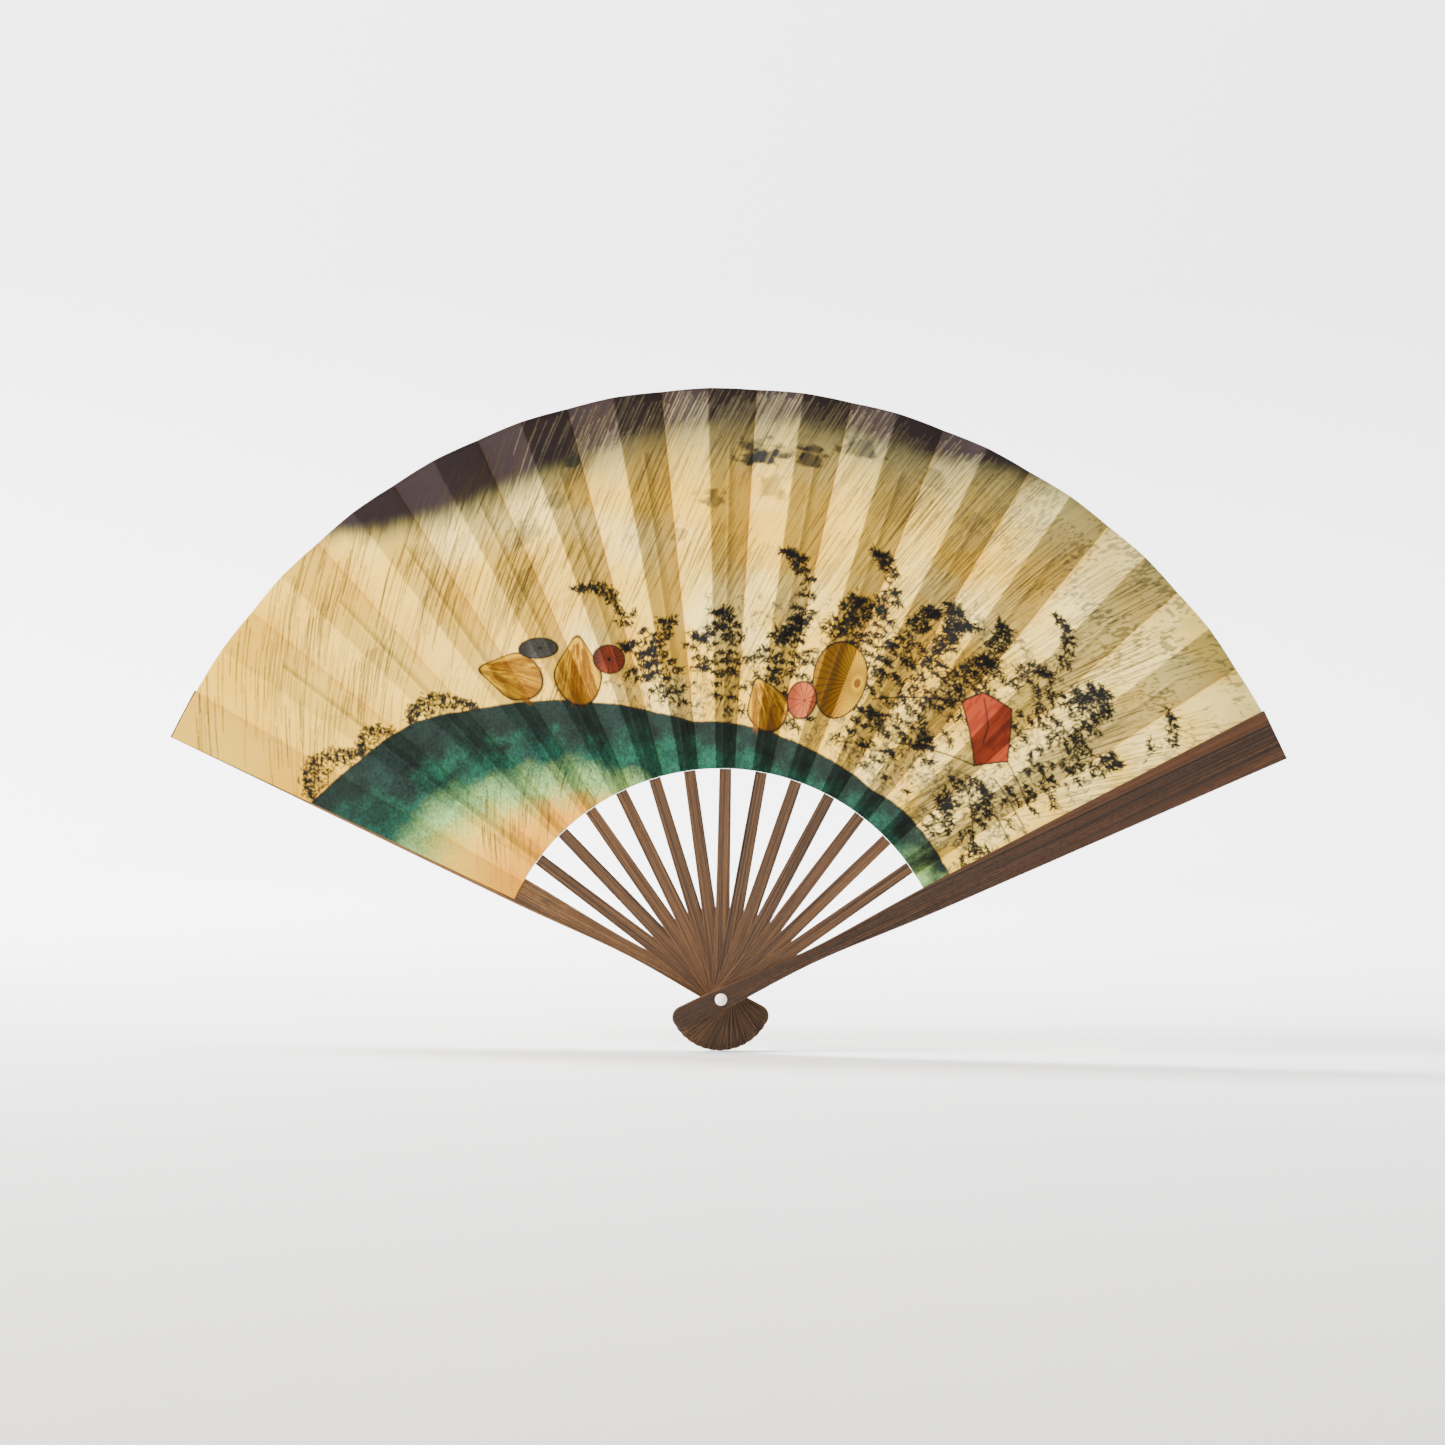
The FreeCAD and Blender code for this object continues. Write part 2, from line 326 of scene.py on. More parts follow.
def hill_line():
    """The ridge: it falls from the left and runs nearly level to the right."""
    ridge = along([(0, 77), (6.7, 70.7), (13.6, 65.5), (17.3, 62.6), (23.3, 53.7), (30.7, 44.8),
                   (37.2, 38.1), (43.7, 31.4), (55.2, 21.1), (62.1, 16.6), (77, 14.4), (88, 12), (106, 9.5),
                   (116, 10.7), (140, 9.9)])
    return ridge + 0.8 * (clouded(run / 7, 0 * lift, 21) - 0.5)


RIDGE = hill_line()


def ridge_at(a):
    return float(np.interp(a, across[0], RIDGE[0]))


def paint_hill():
    """Slate at the ridge, mottled teal below it, and a pale foot that opens into bare paper at the left."""
    below = RIDGE - lift
    mask = rise(-0.3, 0.3, below)
    fine = value_noise(run / 0.7, lift / 0.5, 31) - 0.5
    coarse = clouded(run / 7, lift / 5, 32, 5) - 0.5
    bare = along([(0, 37), (9, 32), (21, 19), (30, 11), (38, 4), (48, -8), (55, -18), (140, -18)])
    foot = lift - bare + 10 * coarse
    before = picture.copy()
    wash(HILL_DARK, mask)
    depth = along([(0, 34), (40, 27), (58, 15), (140, 12)])
    wash(HILL_TEAL, mask * rise(0.2, 1.0, below / depth + 0.9 * coarse) * (0.85 + 0.5 * fine))
    wash(HILL_PALE, mask * (1 - rise(1, 13, foot)) * 0.75)
    right = rise(118, 140, across + 8 * coarse)
    wash(HILL_PALE, mask * right * rise(1, 8, below + 8 * coarse) * 0.85)
    bare_paper = (mask * (1 - rise(-14, 3, foot)))[..., None]
    picture[:] = picture * (1 - bare_paper) + before * bare_paper
    picture[:] *= 1 + (mask * (0.8 * fine + coarse))[..., None] * (1 - bare_paper)
    wash(OUTLINE, 0.9 * np.clip(1.25 - np.abs(below) / 0.34, 0, 1))


def paint_hill_strokes():
    """Long dark strokes of rain that cross the foot of the hill at the lower left, and a few grasses."""
    rng = np.random.default_rng(33)
    for _ in range(130):
        a, u = rng.uniform(9, 40), rng.uniform(6, 34)
        if u < ridge_at(a) - 6:
            length = rng.uniform(4, 11)
            end = (a - length * 0.8 / scale_at(u), u - length * 0.6)
            stroke((a, u), end, 0.36, HILL_DARK, rng.uniform(0.3, 0.75), taper=0.4)
    for _ in range(60):
        a, u = rng.uniform(33, 50), rng.uniform(1, 12)
        end = (a + rng.uniform(-0.9, 0.9), u + rng.uniform(2, 5))
        stroke((a, u), end, 0.45, HILL_DARK, 0.5, taper=0.6)


def leaf_cluster(rng, a, u, size, count, ink, strength):
    """A few narrow leaves about one point, most of them hanging."""
    scale = scale_at(u)
    for _ in range(count):
        angle = math.radians(rng.uniform(-175, 20))
        length = size * rng.uniform(0.55, 1.2)
        start = (a + rng.normal(0, 0.75) / scale, u + rng.normal(0, 0.75))
        tip = (start[0] + length * math.cos(angle) / scale, start[1] + length * math.sin(angle))
        stroke(start, tip, 0.66, ink, strength, taper=0.5)


def twig(rng, a, u, side, length, ink, strength):
    """A side twig that goes out, bends over and hangs, with leaves off both sides of it."""
    scale = scale_at(u)
    heading, step = math.radians(rng.uniform(10, 50)), 0.85
    for _ in range(max(3, int(length / step))):
        a, u = a + side * step * math.cos(heading) / scale, u + step * math.sin(heading)
        heading -= 0.13
        for _ in range(4):
            angle = heading + rng.uniform(-1.5, 1.2)
            size = rng.uniform(0.8, 1.7)
            start = (a + rng.normal(0, 0.55) / scale, u + rng.normal(0, 0.55))
            tip = (start[0] + side * size * math.cos(angle) / scale, start[1] + size * math.sin(angle))
            stroke(start, tip, 0.64, ink, strength * rng.uniform(0.8, 1.05), taper=0.5)


def spray(rng, a, u, height, lean, ink, strength):
    """One arching cane with leafy twigs on both sides. Along t from 0 to 1 it leans by lean * t^2 and
    climbs by height * (1.5 t - 0.5 t^3), so its tip droops over."""
    scale = scale_at(u + height / 2)
    t = np.linspace(0, 1, max(8, int(height / 2.6)))
    cane = list(zip(a + lean * t**2 / scale, u + height * (1.5 * t - 0.5 * t**3)))
    outline(cane, 0.26, ink, strength * 0.5)
    for share, (ca, cu) in zip(t[1:], cane[1:]):
        reach = 1.5 + 7.5 * (1 - share) * rise(0.0, 0.5, share)
        for side in (-1, 1):
            if rng.random() < 0.45 + 0.55 * share:
                twig(rng, ca, cu, side, reach * rng.uniform(0.6, 1.2), ink, strength)
        leaf_cluster(rng, ca, cu, 1.5, 1 + int(3 * share), ink, strength)


def paint_bushes():
    """Low clumps of small dark leaves on the left ridge."""
    rng = np.random.default_rng(41)
    for a0, a1, tall, count in [(0.5, 9, 12, 400), (9, 14, 8, 170), (16.5, 25.7, 9, 380)]:
        for _ in range(count):
            share = rng.random()
            a = a0 + (a1 - a0) * share
            u = ridge_at(a) + tall * math.sqrt(rng.random()) * math.sin(math.pi * share) ** 0.6
            leaf_cluster(rng, a, u, 1.2, 1, LEAF_INK, 0.8)


def paint_groves():
    """Bamboo groves on the ridge: a grey haze of leaves behind, dark arching sprays before it."""
    rng = np.random.default_rng(43)
    for a0, a1, low, high, count in [
        (47, 66, 18, 40, 60), (66, 86, 16, 60, 90), (84, 108, 14, 66, 170),
        (100, 126, 22, 84, 200), (118, 137, 30, 72, 110), (92, 138, 10, 34, 170),
    ]:
        for _ in range(count):
            leaf_cluster(rng, rng.uniform(a0, a1), rng.uniform(low, high), 1.7, 4, GREY_INK, 0.55)
    for a, u, height, lean in [
        (56, 22, 47, -17), (57, 21, 30, 6), (60, 18, 24, -8), (62, 17, 31, 12), (54, 24, 22, -3),
        (69, 15, 30, -9), (72, 15, 38, -8), (76, 15, 34, 7), (80, 14, 40, 3), (83, 14, 61, -12),
        (86, 13, 52, 6), (88, 26, 38, 9), (95, 14, 68, -13), (97, 14, 58, 5), (100, 12, 62, 10),
        (104, 14, 62, -6), (106, 20, 48, 9), (110, 40, 40, -5), (112, 34, 44, 10), (119, 46, 48, -16),
        (120, 44, 38, 5), (125, 38, 48, -7), (128, 34, 54, -12), (130, 32, 46, 3), (133, 82, 20, -9),
        (127, 15, 20, -5), (120, 12, 24, 6), (112, 11, 24, -6), (106, 10, 22, 5), (101, 10, 22, -5),
        (133, 12, 15, 4), (123, 10, 13, -4),
    ]:
        spray(rng, a, u, height, lean, LEAF_INK, 0.95)


def local(a, u, turn):
    """Millimetres about a point of the sheet, in axes turned by an angle."""
    x, y = (across - a) * scale_at(u), lift - u
    return x * math.cos(turn) + y * math.sin(turn), y * math.cos(turn) - x * math.sin(turn)


def rim_line(away, size, width=0.32):
    """An ink line where a shape's relative distance from its middle reaches 1."""
    return np.clip(1.25 - np.abs(away - 1) * size / width, 0, 1)


def paint_disc(a, u, wide, tall, turn, colour, dark, spokes, hub):
    """A round hat or open parasol seen from above: an ellipse, darker to one side, with spokes from a hub
    that may be off its centre. Spokes lie where a sine of the angle about the hub is 0."""
    x, y = local(a, u, turn)
    x, y = x / wide, y / tall
    away = np.hypot(x, y)
    mask = np.clip((1 - away) * min(wide, tall) / CELL + 0.5, 0, 1)
    wash(colour, mask)
    wash(dark, mask * 0.8 * rise(-0.1, -0.9, x - hub))
    angle = np.arctan2(y, x - hub)
    from_hub = np.hypot(x - hub, y)
    gap = np.abs(np.sin(angle * spokes / 2)) * from_hub * wide * 2 / spokes
    wash(OUTLINE, 0.75 * mask * np.clip(1.1 - gap / 0.2, 0, 1) * rise(0.1, 0.3, from_hub))
    wash(dark, mask * (1 - rise(0.1, 0.16, from_hub)))
    wash(OUTLINE, rim_line(away, min(wide, tall)))


def paint_bundle(a, u, wide, tall, turn, seed):
    """A tied bundle of straw: a drop shape, narrow at its tie, hatched from the tie outwards."""
    rng = np.random.default_rng(seed)
    x, y = local(a, u, turn)
    x, y = x / wide, y / tall
    width = np.clip(1.0 - 0.55 * rise(-0.2, 1.0, y), 0.3, 1)
    away = np.hypot(x / width, y)
    mask = np.clip((1 - away) * wide / CELL + 0.5, 0, 1)
    wash(STRAW, mask)
    wash(STRAW_DARK, mask * 0.7 * rise(0.45, 0.7, value_noise(x * 7 / (1.6 - y), y * 1.3, seed)))
    wash(STRAW_DARK, mask * 0.6 * rise(-0.4, -0.9, y))
    wash(OUTLINE, rim_line(away, wide, 0.45))
    scale = scale_at(u)
    for _ in range(95):
        lean = rng.uniform(-0.95, 0.95)
        start = rng.choice([0.7, 0.3, -0.15, -0.55]) + rng.uniform(-0.15, 0.15)
        ends = []
        for place in (start, start - rng.uniform(0.25, 0.5)):
            px, py = lean * wide * (0.72 - 0.42 * place), place * tall * (1 - 0.25 * abs(lean))
            ends.append((a + (px * math.cos(turn) - py * math.sin(turn)) / scale,
                         u + px * math.sin(turn) + py * math.cos(turn)))
        stroke(ends[0], ends[1], 0.42, STRAW_DARK, 0.9, taper=0.5)


def paint_hut():
    """A hut among the canes: a rust wall with its roof line, and thin ink lines of roofs and slopes."""
    wall = [(110.0, 52), (111.7, 59), (116.5, 61.3), (122.1, 48.2), (118.9, 38.9)]
    mask = inside(wall)
    wash(RUST, mask)
    wash(RUST_DARK, 0.55 * mask * rise(0.45, 0.65, value_noise(run / 1.2 + lift / 9, lift / 4, 71)))
    outline(wall + wall[:1], 0.55, OUTLINE, 1.0)
    outline([(112.4, 57.6), (115.8, 51.5), (117.2, 46)], 0.5, OUTLINE, 0.9)
    for line in [[(110.0, 52), (107, 48), (97, 36)], [(100, 57), (106, 58.5)], [(109.6, 54), (104.5, 54)],
                 [(118.9, 38.9), (108, 30), (105, 27)], [(122.1, 48.2), (130, 45)], [(123, 41), (133, 40)],
                 [(123, 30), (131, 22)], [(123, 30), (129, 34), (136, 33)]]:
        outline(line, 0.5, OUTLINE, 0.95)


def blade_half_width(radius):
    """The hidden blade's half width at a distance from the rivet, in metres: a straight taper."""
    base, tip = BLADE_HALF_WIDTHS
    share = np.clip((radius - LEAF_INNER) / (BLADE_TIP - LEAF_INNER), 0, 1)
    return base + (tip - base) * share


def age(canvas):
    """Painted warm shade in the valleys and beside them, painted shade on the pleats (more so to the right),
    the rear end panel somewhat darker, and painted shadows of the ribs' blades showing through the paper."""
    place = np.arange(SHEET_COLUMNS) / COLUMNS
    nearest = np.rint(place)
    off = np.abs(place - nearest) * PANEL_ANGLE * radius_mm
    # Painted warm shade in the valley creases and beside them: a narrow dark line and a wider soft one, darkened
    # most in blue.
    valley_shade = (nearest % 2 == 1) * (np.exp(-off / 0.5) + 0.45 * np.exp(-off / 3.0))
    canvas[:] *= 1 - valley_shade[..., None] * np.array([0.04, 0.13, 0.30])
    is_pleat = (np.floor(place) % 2 == 0) & (place > 1) & (place < PANELS - 1)
    # Painted shade on the pleats, which face away from the key light: none at the left, full from 60 degrees
    # across. The rear end panel is darkened by half as much.
    pleat_shade_and_end_tone = is_pleat * rise(24, 60, across) + 0.5 * (place < 1)
    canvas[:] *= 1 - pleat_shade_and_end_tone[..., None] * np.array([0.41, 0.43, 0.47])
    # Painted shadows of the blades inside the pleats, seen through the paper: a darker band over each blade,
    # ending at its tip.
    from_middle = np.abs(place - np.floor(place) - 0.5) * PANEL_ANGLE * radius_mm
    half = blade_half_width(radius_mm / 1000.0) * 1000.0
    shadow = 1 - rise(half - 0.35, half + 0.45, from_middle)
    shadow = shadow * (1 - rise(BLADE_TIP * 1000 - 0.8, BLADE_TIP * 1000 + 0.8, radius_mm))
    canvas[:] *= 1 - (is_pleat * shadow)[..., None] * np.array([0.36, 0.37, 0.38])


paint_paper()
reverse = picture.copy()
age(reverse)
paint_sky()
paint_speckle()
paint_rain()
paint_clouds()
paint_groves()
paint_hill()
paint_hill_strokes()
paint_bushes()
paint_hut()
paint_bundle(33.2, 53, 8.4, 11.5, 0.78, 61)
paint_disc(39.0, 56.5, 6.9, 3.5, -0.4, HAT_GREY, OUTLINE, 10, 0.1)
paint_bundle(43.2, 43.5, 8.8, 12.0, -0.38, 62)
paint_disc(48.9, 43.5, 5.6, 4.9, -0.4, HAT_BROWN, OUTLINE, 16, 0.0)
paint_bundle(77.8, 23, 7.6, 9.5, 0.5, 64)
paint_disc(90.2, 37.4, 9.6, 13.2, 0.2, STRAW, STRAW_DARK, 46, 0.68)
paint_disc(84.6, 27, 5.2, 6.4, 0.1, SALMON, HAT_BROWN, 12, 0.2)
age(picture)

# ------------------------------------------------------------------ the pleated panels


def crease_direction(crease):
    """The unit line of a crease from its apex on the rivet's axis: the stick's direction turned by half a
    panel in the pleat's own plane, which leans about the stick by the pleat's tilt."""
    stick, side = crease // 2, 1 if crease % 2 else -1
    angle, tilt, half = stick_angle[stick], stick_tilt[stick], PANEL_ANGLE / 2
    outward = np.array([math.cos(angle), 0, math.sin(angle)])
    clockwise = np.array([math.sin(angle), 0, -math.cos(angle)])
    across_pleat = clockwise * math.cos(tilt) - FRONT * math.sin(tilt)
    return outward * math.cos(half) + across_pleat * side * math.sin(half)


def panel_surface(panel, radius, u):
    """Points and unit normals of a panel's middle surface. A point is apex(u) + radius * direction(u),
    where direction turns evenly from the left crease to the right one and apex slides between their
    sticks."""
    left, right = crease_direction(panel), crease_direction(panel + 1)
    apex_left, apex_right = FRONT * stick_depth[panel // 2], FRONT * stick_depth[(panel + 1) // 2]
    angle = math.acos(float(left @ right))
    left_share, right_share = np.sin((1 - u) * angle)[..., None], np.sin(u * angle)[..., None]
    turned = (left_share * left + right_share * right) / math.sin(angle)
    apex = apex_left + u[..., None] * (apex_right - apex_left)
    point = apex + radius[..., None] * turned
    sideways = (apex_right - apex_left) + radius[..., None] * (right - left)
    normal = np.cross(sideways, turned)
    return point, normal / np.linalg.norm(normal, axis=-1, keepdims=True)


def mitre(panel, radius, normal):
    """At a shared crease, leans each normal to the bisector of the two panels' and lengthens it, so that
    their faces meet."""
    result = normal.copy()
    for column, other, other_u in ((0, panel - 1, 1.0), (-1, panel + 1, 0.0)):
        if 0 <= other < PANELS:
            r = radius[:, column]
            _, neighbour = panel_surface(other, r, np.full_like(r, other_u))
            both = normal[:, column] + neighbour
            result[:, column] = 2 * both / np.sum(both * both, axis=-1, keepdims=True)
    return result


def bow(panel, radius, u):
    """How far a panel bellies out of flat: three slow waves down it, held to nothing at both creases."""
    rng = np.random.default_rng(700 + panel)
    amount = FOLD_BOW if panel % 2 else PLEAT_BOW
    share = (radius - LEAF_INNER) / (LEAF_OUTER - LEAF_INNER)
    waves = sum(rng.normal(0, 1 / k) * np.sin(math.pi * k * share + rng.uniform(0, 6)) for k in (1, 2, 4))
    return amount * (waves - 0.6) * np.sin(math.pi * u) * (0.3 + 0.7 * share)


def blade_swell(panel, radius, u):
    """How far the plies of a pleat stand out over the blade: full over it, none past its shoulder."""
    if panel % 2 or panel in (0, PANELS - 1):
        return np.zeros_like(radius)
    off = np.abs(u - 0.5) * PANEL_ANGLE * radius
    half = blade_half_width(radius)
    room = np.minimum(half + SHOULDER, SHOULDER_REACH * PANEL_ANGLE * radius)
    room = np.maximum(room, half + LEAST_SHOULDER)
    before_tip = 1 - rise(BLADE_TIP - 0.0005, BLADE_TIP + 0.003, radius)
    return BLADE_RISE * (1 - rise(half, room, off)) * before_tip


def panel_side(panel, radius, u, side):
    """One face of the panel: side is 1 for the painted front and -1 for the back."""
    point, normal = panel_surface(panel, radius, u)
    away = bow(panel, radius, u) + side * (PLY + blade_swell(panel, radius, u))
    return point + away[..., None] * mitre(panel, radius, normal)


def grid_quads(rows, columns, start, flip):
    """Four-cornered faces over a grid of (rows + 1) by (columns + 1) points."""
    corner = start + np.arange(rows)[:, None] * (columns + 1) + np.arange(columns)[None, :]
    above = corner + columns + 1
    quads = np.stack([corner, corner + 1, above + 1, above], axis=-1).reshape(-1, 4)
    return quads[:, ::-1] if flip else quads


def rim_faces(front, back, front_step, flip):
    """Faces that close one edge: each joins a run of fine front points to two coarse back points."""
    faces = []
    for k in range(len(back) - 1):
        run_of = list(front[k * front_step:(k + 1) * front_step + 1])
        face = run_of + [back[k + 1], back[k]]
        faces.append(face[::-1] if flip else face)
    return faces


def new_mesh(name, points, quads, rims):
    """A mesh from point and quad arrays and a list of many-cornered rim faces."""
    corners = np.concatenate([quads.ravel()] + [np.asarray(rim) for rim in rims])
    sizes = np.concatenate([np.full(len(quads), 4), [len(rim) for rim in rims]])
    mesh = bpy.data.meshes.new(name)
    mesh.vertices.add(len(points))
    mesh.vertices.foreach_set("co", points.astype(np.float32).ravel())
    mesh.loops.add(len(corners))
    mesh.loops.foreach_set("vertex_index", corners.astype(np.int32))
    mesh.polygons.add(len(sizes))
    mesh.polygons.foreach_set("loop_start", (np.cumsum(sizes) - sizes).astype(np.int32))
    mesh.update(calc_edges=True)
    return mesh


def make_panel(panel, name, body):
    """A panel of the leaf as one closed piece: a fine painted front, a coarser plain back and a cut rim."""
    u_front = np.linspace(0, 1, COLUMNS + 1)
    r_front = np.linspace(LEAF_INNER, LEAF_OUTER, ROWS + 1)
    radius, u = np.meshgrid(r_front, u_front, indexing="ij")
    front = panel_side(panel, radius, u, 1).reshape(-1, 3)
    radius, u = np.meshgrid(r_front[::BACK_ROW_STEP], u_front[::BACK_COLUMN_STEP], indexing="ij")
    back = panel_side(panel, radius, u, -1).reshape(-1, 3)

    back_rows, back_columns = ROWS // BACK_ROW_STEP, COLUMNS // BACK_COLUMN_STEP
    front_index = np.arange(len(front)).reshape(ROWS + 1, COLUMNS + 1)
    back_index = len(front) + np.arange(len(back)).reshape(back_rows + 1, back_columns + 1)
    front_quads = grid_quads(ROWS, COLUMNS, 0, False)
    back_quads = grid_quads(back_rows, back_columns, len(front), True)
    rims = rim_faces(front_index[:, 0], back_index[:, 0], BACK_ROW_STEP, False)
    rims += rim_faces(front_index[:, -1], back_index[:, -1], BACK_ROW_STEP, True)
    rims += rim_faces(front_index[0], back_index[0], BACK_COLUMN_STEP, True)
    rims += rim_faces(front_index[-1], back_index[-1], BACK_COLUMN_STEP, False)

    mesh = new_mesh(name, np.vstack([front, back]), np.vstack([front_quads, back_quads]), rims)
    face = np.arange(len(mesh.polygons))
    mesh.polygons.foreach_set("use_smooth", face < len(front_quads) + len(back_quads))
    mesh.materials.append(materials["leaf_paper"])
    paint = np.ones((len(front) + len(back), 4), np.float32)
    columns = slice(panel * COLUMNS, (panel + 1) * COLUMNS + 1)
    paint[:len(front), :3] = picture[:, columns].reshape(-1, 3)
    paint[len(front):, :3] = reverse[::BACK_ROW_STEP, columns][:, ::BACK_COLUMN_STEP].reshape(-1, 3)
    mesh.attributes.new("painting", "FLOAT_COLOR", "POINT").data.foreach_set("color", paint.ravel())
    piece = bpy.data.objects.new(name, mesh)
    bpy.context.scene.collection.objects.link(piece)
    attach(piece, body)
    return piece


def make_leaf():
    """All the panels, left to right: ends on the guards, and pleats and folds by turns between them."""
    for panel in range(PANELS):
        stick = panel // 2
        if panel == 0:
            node, body = "leaf_end_rear", "rear_side"
        elif panel == PANELS - 1:
            node, body = "leaf_end_front", "front_side"
        elif panel % 2:
            node, body = "leaf_fold_%02d" % stick, "fold_%02d" % stick
        else:
            node, body = "leaf_pleat_%02d" % stick, "pleat_%02d" % stick
        piece = make_panel(panel, node.replace("leaf_", "paper_"), body)
        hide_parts(node)
        if panel % 2:
            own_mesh(piece)


# ------------------------------------------------------------------ materials


def new_group(name, inputs, outputs):
    """An empty shader group with named sockets, each given as (name, socket kind)."""
    group = bpy.data.node_groups.new(name, "ShaderNodeTree")
    for label, kind in inputs:
        group.interface.new_socket(label, in_out="INPUT", socket_type="NodeSocket" + kind)
    for label, kind in outputs:
        group.interface.new_socket(label, in_out="OUTPUT", socket_type="NodeSocket" + kind)
    return group, group.nodes.new("NodeGroupInput"), group.nodes.new("NodeGroupOutput")


def add(tree, kind, **values):
    """A node with some of its properties and inputs set. An input's name has underscores for spaces."""
    node = tree.nodes.new("ShaderNode" + kind)
    for key, value in values.items():
        label = key.replace("_", " ")
        if label in node.inputs:
            node.inputs[label].default_value = value
        else:
            setattr(node, key, value)
    return node


def noise(tree, vector, scale, detail=3.0, roughness=0.6):
    node = add(tree, "TexNoise", Scale=scale, Detail=detail, Roughness=roughness)
    tree.links.new(vector, node.inputs["Vector"])
    return node.outputs["Fac"]


def ramp(tree, factor, stops):
    """A colour ramp through (place, colour) stops."""
    node = add(tree, "ValToRGB")
    elements = node.color_ramp.elements
    while len(elements) < len(stops):
        elements.new(0.5)
    for element, (place, colour) in zip(elements, stops):
        element.position, element.color = place, colour
    tree.links.new(factor, node.inputs["Fac"])
    return node.outputs["Color"]


def grey(value):
    return (value, value, value, 1.0)


def mixed(tree, factor, a, b, blend="MIX"):
    """Mixes two colours. Each of the three may be a socket or a plain value."""
    node = tree.nodes.new("ShaderNodeMix")
    node.data_type, node.blend_type = "RGBA", blend
    for socket, value in ((node.inputs[0], factor), (node.inputs[6], a), (node.inputs[7], b)):
        if isinstance(value, bpy.types.NodeSocket):
            tree.links.new(value, socket)
        else:
            socket.default_value = value
    return node.outputs[2]


def stretched(tree, vector, scale):
    node = add(tree, "Mapping")
    node.inputs["Scale"].default_value = scale
    tree.links.new(vector, node.inputs["Vector"])
    return node.outputs["Vector"]


def bamboo_group():
    """Bamboo's grain. The vector's Z runs along the stick: noise squeezed along Z gives fibres and fine
    grooves, slow noise gives darker lengths, and a mottle of small dark flecks shows where it is asked
    for."""
    group, given, made = new_group(
        "bamboo_grain",
        [("Vector", "Vector"), ("Dark", "Color"), ("Light", "Color"), ("Mottle", "Float")],
        [("Color", "Color"), ("Roughness", "Float"), ("Height", "Float")],
    )
    vector = given.outputs["Vector"]
    fibre = noise(group, stretched(group, vector, (2300, 2300, 9)), 1.0, 4.0, 0.65)
    groove = noise(group, stretched(group, vector, (2600, 2600, 6)), 1.0, 2.0, 0.5)
    slow = noise(group, stretched(group, vector, (170, 170, 13)), 1.0, 3.0, 0.6)
    fleck = noise(group, stretched(group, vector, (1500, 1500, 620)), 1.0, 2.0, 0.5)
    fibres = ramp(group, fibre, [(0.34, grey(0)), (0.66, grey(1))])
    colour = mixed(group, fibres, given.outputs["Dark"], given.outputs["Light"])
    lengths = ramp(group, slow, [(0.32, grey(0.42)), (0.68, grey(1.0))])
    colour = mixed(group, 0.55, colour, lengths, "MULTIPLY")
    grooves = ramp(group, groove, [(0.33, grey(0.25)), (0.46, grey(1.0))])
    colour = mixed(group, 0.75, colour, grooves, "MULTIPLY")
    flecks = ramp(group, fleck, [(0.40, grey(0.35)), (0.50, grey(1.0))])
    colour = mixed(group, given.outputs["Mottle"], colour, mixed(group, 1.0, colour, flecks, "MULTIPLY"))
    group.links.new(colour, made.inputs["Color"])
    group.links.new(ramp(group, fibre, [(0.3, grey(0.62)), (0.7, grey(0.42))]), made.inputs["Roughness"])
    group.links.new(mixed(group, 0.5, fibres, grooves), made.inputs["Height"])
    return group


def paper_group():
    """Handmade paper: long fibres, a fine tooth and slow stains, over a given colour."""
    group, given, made = new_group(
        "paper_fibres",
        [("Vector", "Vector"), ("Color", "Color")],
        [("Color", "Color"), ("Height", "Float")],
    )
    vector = given.outputs["Vector"]
    tooth = noise(group, vector, 2600.0, 3.0, 0.6)
    strands = noise(group, stretched(group, vector, (500, 500, 1400)), 1.0, 5.0, 0.7)
    stain = noise(group, vector, 45.0, 3.0, 0.6)
    fibres = ramp(group, strands, [(0.3, grey(0.72)), (0.62, grey(1.0))])
    colour = mixed(group, 0.35, given.outputs["Color"], fibres, "MULTIPLY")
    warm = ramp(group, stain, [(0.36, (0.93, 0.86, 0.74, 1.0)), (0.62, grey(1.0))])
    colour = mixed(group, 0.6, colour, warm, "MULTIPLY")
    group.links.new(colour, made.inputs["Color"])
    relief = mixed(group, 0.5, ramp(group, tooth, [(0.3, grey(0)), (0.7, grey(1))]), strands)
    group.links.new(relief, made.inputs["Height"])
    return group


def new_material(name, roughness, specular):
    material = bpy.data.materials.new(name)
    material.use_nodes = True
    shader = material.node_tree.nodes["Principled BSDF"]
    shader.inputs["Roughness"].default_value = roughness
    shader.inputs["Specular IOR Level"].default_value = specular
    return material, material.node_tree, shader


def bump(tree, height, distance, strength, shader):
    node = add(tree, "Bump", Distance=distance, Strength=strength)
    tree.links.new(height, node.inputs["Height"])
    tree.links.new(node.outputs["Normal"], shader.inputs["Normal"])


def calculated(tree, operation, *values):
    """A Math node. Each value may be a socket or a number."""
    node = add(tree, "Math", operation=operation)
    for socket, value in zip(node.inputs, values):
        if isinstance(value, bpy.types.NodeSocket):
            tree.links.new(value, socket)
        else:
            socket.default_value = value
    return node.outputs["Value"]


RANGE_INPUTS = ("From Min", "From Max", "To Min", "To Max")


